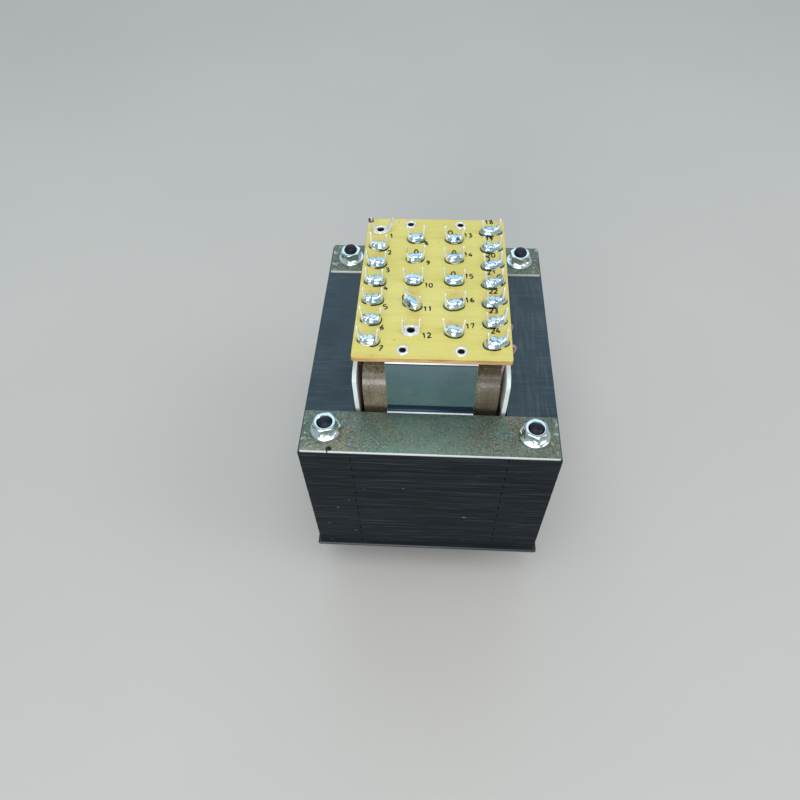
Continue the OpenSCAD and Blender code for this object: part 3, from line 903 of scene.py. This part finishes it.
def lug(shape, x, y, turn, rnd, splay=((-1, 8), (-1, 8)), twist=12):
    """Oval base, rolled rivet head and two prongs, the left and the right splayed off true."""
    at = shifted(x, y, BOARD_TOP) @ spun(turn)
    soft, bore, n = 0.12, SHANK_R - SHANK_T, 40
    rings = []
    for r, z in ((bore, 0.02), (RING_R - soft, 0.02), (RING_R, soft), (RING_R, RING_T - soft),
                 (RING_R - soft, RING_T), (bore, RING_T)):
        deep = r * (1 - 0.20 * (r - bore) / (RING_R - bore))
        rings.append([(qx, qy * deep / r, z) for qx, qy, z in turned([r] * n, z)])
    shape.loft(rings, place=at, loop=True)
    rolled(shape, at @ shifted(0, 0, RING_T), SHANK_R, HEAD_R,
           RING_T + board_hi[2] - board_lo[2], RIM_R)
    for side, bent in zip((-1, 1), splay):
        lean = spun(side * radians(rnd.uniform(*bent)), "Y")
        skew = spun(radians(rnd.uniform(-4, 4)), "X")
        spin = spun(radians(rnd.uniform(-twist, twist)))
        foot = shifted(side * (RING_R - PRONG_T / 2), 0, RING_T - 0.1)
        prong(shape, at @ foot @ lean @ skew @ spin, side)


def bead(shape, x, y, turn, width, lobe, rnd):
    """Solder pooled between the prongs: a steep-sided pillow, two-lobed where it is wide."""
    at = shifted(x, y, BOARD_TOP) @ spun(turn)
    seed = rnd.uniform(0, 100)
    a, b = width / 2, rnd.uniform(2.6, 2.95)
    crown = rnd.uniform(1.8, 2.3)
    climbs = {-1: rnd.uniform(0.9, 1.9), 1: rnd.uniform(0.9, 1.9)}
    n, m = 72, 22
    foot = RING_R - PRONG_T / 2
    rings = []
    for j in range(m + 1):
        f = 1 - (j / m) ** 1.35 if j < m else 0.015
        ring = []
        for i in range(n):
            t = TAU * i / n
            c, s = cos(t), sin(t)
            wob = 1 + 0.07 * waver(c * 1.3, s * 1.3, seed)
            # squarish in plan, with a waist between the large lobe and the small one
            square = (abs(c) ** 2.3 + abs(s) ** 2.3) ** (-1 / 2.3)
            u = c * square * lobe
            waist = 1 - abs(lobe) * (0.22 * exp(-((u - 0.34) / 0.17) ** 2)
                                     + 0.20 / (1 + exp((0.42 - u) / 0.06)))
            px, py = a * f * c * square * wob, b * f * s * square * wob * waist
            dome = max(0.0, 1 - f ** 2.2) ** 0.70
            # it climbs the prongs and sags between them towards the back
            climb = sum(h * exp(-((px - side * foot) / 0.9) ** 2 - ((py - 0.4) / 1.4) ** 2)
                        for side, h in climbs.items())
            lean = 0.94 - 0.20 * py / b
            lump = 0.35 * waver(px * 0.28, py * 0.28, seed + 7)
            ring.append((px, py, RING_T * (1 - f ** 9)
                         + (crown * lean * (0.55 + 0.45 * waist) + lump) * dome
                         + climb * min(1, dome * 1.4)))
        rings.append(ring)
    base = [(px, py, 0.01) for px, py, _ in rings[0]]
    rings[0] = [(px, py, max(0.06, z)) for px, py, z in rings[0]]
    shape.loft([base] + rings, place=at)
    # a thin dark skin all round: burnt flux and a painted contact shade
    spread = [1 + (0.13 + 0.09 * waver(px, py, seed)) / hypot(px, py)
              for px, py, _ in base]
    skin = [[(px * k, py * k, h) for (px, py, _), k in zip(base, spread)] for h in (0.005, 0.04)]
    shape.loft(skin, 1, place=at)


# Width of a bead, turn of a lug and which way a bead's small lobe points, for each column
BEADS = {"outer_left": (8.0, -4, -1), "inner_left": (7.3, 0, 0), "inner_right": (7.3, 0, 0),
         "outer_right": (9.0, 13, 1)}


def make_lugs():
    rnd = random.Random(11)
    open_shape = Shape()
    for name, (x, rows, bare) in COLUMNS.items():
        lugs, beads = Shape(), Shape()
        width, turned, lobe = BEADS[name]
        for y in rows:
            turn = radians(rnd.gauss(turned, 5))
            if name == "inner_left" and y == rows[1]:
                turn = radians(-42)
            if y == bare:
                prised = y > 0        # in the photo the rear one's prong stands bent out
                lug(open_shape, x, y, radians(rnd.uniform(-4, 4)), rnd,
                    ((3, 6), (19, 23)) if prised else ((-2, 2), (-1, 3)), 40 if prised else 8)
                continue
            lug(lugs, x, y, turn, rnd)
            bead(beads, x, y, turn, width + rnd.uniform(-0.5, 0.5), lobe, rnd)
        lugs.piece(f"lugs_{name}_tinned", "tin flux", "lug_tin", [f"lugs_{name}"],
                   smooth=40)
        beads.piece(f"solder_{name}_beads", "solder flux", "solder",
                    [f"solder_{name}"], smooth=70)
    open_shape.piece("open_lugs_tinned", "tin flux", "lug_tin", ["open_lugs"], smooth=40)


def make_wire_ends():
    """Winding ends that stand curled over behind some of the beads."""
    rnd = random.Random(31)
    shape = Shape()
    # the column, the row, and how far right of the lug's middle it stands
    curls = (("inner_right", 3, 0.0), ("inner_right", 2, -0.4), ("inner_left", 3, 0.4),
             ("inner_left", 1, -3.0), ("outer_right", 3, 2.0), ("outer_right", 4, -2.0),
             ("inner_right", 4, -1.6))
    for name, row, right in curls:
        x, rows, _ = COLUMNS[name]
        r = rnd.uniform(0.65, 0.95)
        turn = spun(rnd.uniform(-0.6, 0.6))
        place = shifted(x + right, rows[row] + 2.6, BOARD_TOP + 1.3) @ turn
        path = [(-r, -0.9, -0.9), (-r, -0.3, -0.2)]
        path += [(-r * c, 0, 1.3 * r * sn) for sn, c in swing(range(0, 181, 36))]
        path.append((0.75 * r, 0.1, -0.6))
        shape.tube(smooth_path([place @ Vector(p) for p in path], 4), 0.28, n=8)
    # a snipped end is still twisted round the left prong of the lug at the back
    x, rows, bare = COLUMNS["outer_left"]
    knot = Vector((x - RING_R - 0.25, bare, BOARD_TOP + PRONG_H - 1.9))
    path = [knot + Vector((0.8 * cos(a), 0.8 * sin(a), 0.14 * a)) for a in
            [0.5 * k for k in range(22)]]
    path += [path[-1] + Vector((0.5, 0.5, 0.3)), path[-1] + Vector((1.0, 0.7, 0.4))]
    shape.tube(smooth_path(path, 3), 0.27, n=8)
    shape.piece("wire_ends_curled", "enamel", "lead_enamel", smooth=80)


# ---- Terminal numbers ----

DIGITS = {
    "0": [[(0.5, 1.6), (0.1, 1.2), (0.1, 0.4), (0.45, 0), (0.85, 0.35), (0.9, 1.2), (0.5, 1.6)]],
    "1": [[(0.25, 1.25), (0.55, 1.6), (0.5, 0)]],
    "2": [[(0.1, 1.25), (0.45, 1.6), (0.85, 1.25), (0.6, 0.7), (0.05, 0), (0.95, 0.05)]],
    "3": [[(0.1, 1.5), (0.55, 1.6), (0.8, 1.25), (0.4, 0.85), (0.9, 0.45), (0.5, 0), (0.05, 0.15)]],
    "4": [[(0.6, 1.6), (0.05, 0.55), (0.95, 0.6)], [(0.7, 1.0), (0.62, 0)]],
    "5": [[(0.85, 1.6), (0.2, 1.55), (0.15, 0.95), (0.7, 0.9), (0.85, 0.4), (0.4, 0),
           (0.05, 0.15)]],
    "6": [[(0.75, 1.6), (0.2, 0.9), (0.15, 0.3), (0.5, 0), (0.85, 0.35), (0.6, 0.75), (0.2, 0.55)]],
    "7": [[(0.05, 1.5), (0.9, 1.6), (0.35, 0)]],
    "8": [[(0.5, 0.85), (0.15, 1.25), (0.5, 1.6), (0.8, 1.25), (0.5, 0.85), (0.1, 0.4), (0.5, 0),
           (0.9, 0.4), (0.5, 0.85)]],
    "9": [[(0.85, 1.2), (0.45, 1.6), (0.15, 1.2), (0.45, 0.85), (0.85, 1.2), (0.7, 0.5), (0.4, 0)]],
}


def stroke(shape, points, width, z):
    """A flat pen stroke with rounded ends, a film of ink thick."""
    path = smooth_path([(x, y, 0) for x, y in points], 5)
    left, right = [], []
    for i, p in enumerate(path):
        d = (path[min(i + 1, len(path) - 1)] - path[max(i - 1, 0)]).normalized()
        w = width / 2 * (0.85 + 0.25 * noise.noise(p * 3))
        end = min(i, len(path) - 1 - i)
        w *= (0.55, 0.85)[end] if end < 2 else 1
        side = Vector((-d.y, d.x, 0)) * w
        left.append(p + side)
        right.append(p - side)
    ring = [[(p.x, p.y, z), (q.x, q.y, z), (q.x, q.y, z + 0.03), (p.x, p.y, z + 0.03)]
            for p, q in zip(left, right)]
    shape.loft(ring)


def write(shape, text, x, y, size, turn, rnd):
    """Plain figures by hand, level with the board's top."""
    spread = Matrix.Rotation(turn, 2)
    for k, d in enumerate(text):
        for line in DIGITS[d]:
            points = [spread @ Vector(((px + k * 1.25) * size, py * size)) for px, py in line]
            stroke(shape, [(x + p.x + rnd.uniform(-0.03, 0.03), y + p.y) for p in points], 0.62,
                   BOARD_TOP + 0.005)


def make_numbers():
    """Plain running numbers in place of the handwriting, one beside each lug."""
    shape = Shape()
    rnd = random.Random(5)
    shift = {"outer_left": (4.0, -4.6), "inner_left": (4.0, -3.4), "inner_right": (4.0, 1.6),
             "outer_right": (-1.9, 5.0)}
    number = 0
    for name, (x, rows, _) in COLUMNS.items():
        dx, dy = shift[name]
        for y in rows[::-1]:
            number += 1
            at_x = x + dx + rnd.uniform(-0.4, 0.4)
            at_y = y + dy + rnd.uniform(-0.2, 0.2)
            write(shape, str(number), at_x, at_y, rnd.uniform(1.25, 1.50),
                  radians(rnd.uniform(-4, 14)), rnd)
    shape.piece("terminal_numbers", "ink", "board_fibre", smooth=60)


# ---- Leads ----

def make_leads():
    """Winding ends that leave beside the wrap, bow a little and rise into the lugs."""
    rnd = random.Random(21)
    exit_x = (wrap_hi[0] + cheek_lo[0]) / 2
    low, under = wrap_hi[2] - 8, board_lo[2]
    for side, node in ((-1, "leads_left"), (1, "leads_right")):
        shape = Shape()
        for name, (x, rows, bare) in COLUMNS.items():
            if x * side < 0:
                continue
            inner = name.startswith("inner")
            for y in rows:
                if y == bare:
                    continue
                ey = y + (0 if inner else 1.25)
                up = wrap_hi[2] + (2 if inner else 6)
                belly = rnd.uniform(0.0, 0.5) if inner else rnd.uniform(0.3, 1.2)
                loose = not inner and side > 0 and y in rows[:2]
                path = [(side * exit_x, ey, low), (side * exit_x, ey, wrap_hi[2] - 1)]
                if inner:
                    path += [(side * (exit_x - 1.2), ey, up - 0.1), (side * 18, ey, up + 0.1),
                             (side * 12, y, up + 0.2), (side * (abs(x) + 1.6), y, up + 0.7),
                             (x, y, up + 3.5)]
                elif loose:
                    # two sleeved leads stand out past the board's edge before they turn in
                    out = board_hi[0] + (1.5 if y == rows[0] else 0.9)
                    path += [(out - 2.2, ey + 1.0, up - 2.0), (out - 0.2, ey + 1.6, up + 1.2),
                             (out, ey + 1.4, under - 2.3), (out - 1.6, ey + 0.6, under - 0.9),
                             (x + 2.2, y + 0.2, under - 1.4)]
                else:
                    path += [(side * (exit_x + belly), ey, up - 2.5),
                             (side * (exit_x + belly * 0.9), ey - 0.3, up + 1.0),
                             (side * (abs(x) + 1.6), y + 0.5, up + 2.9), (x, y, up + 4.6)]
                path += [(x, y, under), (x, y, under + 1)]
                sleeved = rnd.random() < 0.3 or loose
                shape.tube(smooth_path(path, 6), LEAD_R * (1.2 if sleeved else 0.9),
                           1 if sleeved else 0)
        shape.piece(node + "_wires", "enamel sleeve", "lead_enamel", [node], smooth=80)


# ---- End bell ----

def make_bell():
    """The drawn cup with a soft flange: outside and inside skins as one closed shell."""
    top, gap, rim, t = bell_hi[2], 1.5, 0.5, BELL_T
    low = top - t
    r_side, r_edge, draw = 7.0, 5.0, 2.2
    flange = (bell_hi[0], bell_hi[1], LIP_R)
    cup = (cheek_hi[0] + gap + t, cheek_hi[1] + gap + t, r_side)

    def ring(form, grow, z):
        hx, hy, r = (size + grow for size in form)
        return at_z(rounded(hx, hy, max(r, 0.3), 8), z)

    # outside: flange rim, its underside, the draw radius, the wall and the round edge
    rings = [ring(flange, rim * s - rim, top - rim + rim * c) for s, c in swing(range(0, 91, 30))]
    rings.append(ring(flange, 0, low + rim))
    rings += [ring(flange, rim * c - rim, low + rim - rim * s) for s, c in swing(range(30, 91, 30))]
    rings += [ring(cup, draw * (1 - s), low - draw * (1 - c)) for s, c in swing(range(0, 91, 15))]
    rings += [ring(cup, -r_edge * (1 - c), r_edge * (1 - s)) for s, c in swing(range(0, 91, 10))]
    outside = len(rings)
    # inside, back up to the flange's upper face
    inner, turn = r_edge - t, draw + t
    rings += [ring(cup, -t - inner * (1 - c), t + inner * (1 - s))
              for s, c in swing(range(90, -1, -15))]
    rings += [ring(cup, turn * (1 - c) - t, top - turn * (1 - s))
              for s, c in swing(range(0, 91, 15))]
    shape = Shape()
    shape.loft(rings[:outside][::-1], caps=(True, False))
    shape.loft(rings[outside:][::-1], caps=(False, True))
    # the flat ring on top of the flange, between the draw radius and the rim
    shape.loft([rings[-1], rings[0]], caps=(False, False))
    shape.piece("end_bell_drawn", "bell", "bell_paint", ["end_bell"], smooth=40)


def make_drip():
    """A drop of the core's varnish beside the front left nut, run over the strap's edge."""
    top, edge = core_hi[2] + SHEET, strap_hi[1]
    x, y = 2.0 - bolt_x, 1.0 - edge
    dome = ((0.95, 0.01), (0.90, 0.16), (0.70, 0.30), (0.40, 0.38), (0.02, 0.40))
    rings = [[(x + 1.15 * px, y + py, z) for px, py, z in turned([r] * 20, top + h)]
             for r, h in dome]
    shape = Shape()
    shape.loft(rings)
    run = [(x - 0.5, y, top + 0.1), (x - 0.6, -edge - 0.02, top + 0.02),
           (x - 0.6, -edge - 0.08, top - 0.5), (x - 0.55, -edge - 0.05, top - SHEET)]
    shape.tube(smooth_path(run, 4), 0.2, n=8)
    shape.piece("varnish_drip", "bolt", "core_steel", smooth=60)


def dress_kept_nodes():
    """CAD nodes whose form is already right get a better finish."""
    finish = {"bobbin_tube": "pressboard", "winding": "copper"}
    for node, material in finish.items():
        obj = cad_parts[node]
        for s in obj.material_slots:
            s.material = M[material]


make_camera()
make_stage()
make_core()
make_cheeks()
make_wrap()
make_bracket(-1, "front_bracket")
make_bracket(1, "back_bracket")
make_nuts()
make_bolts()
make_board()
make_eyelets()
make_lugs()
make_wire_ends()
make_numbers()
make_leads()
make_bell()
make_drip()
dress_kept_nodes()
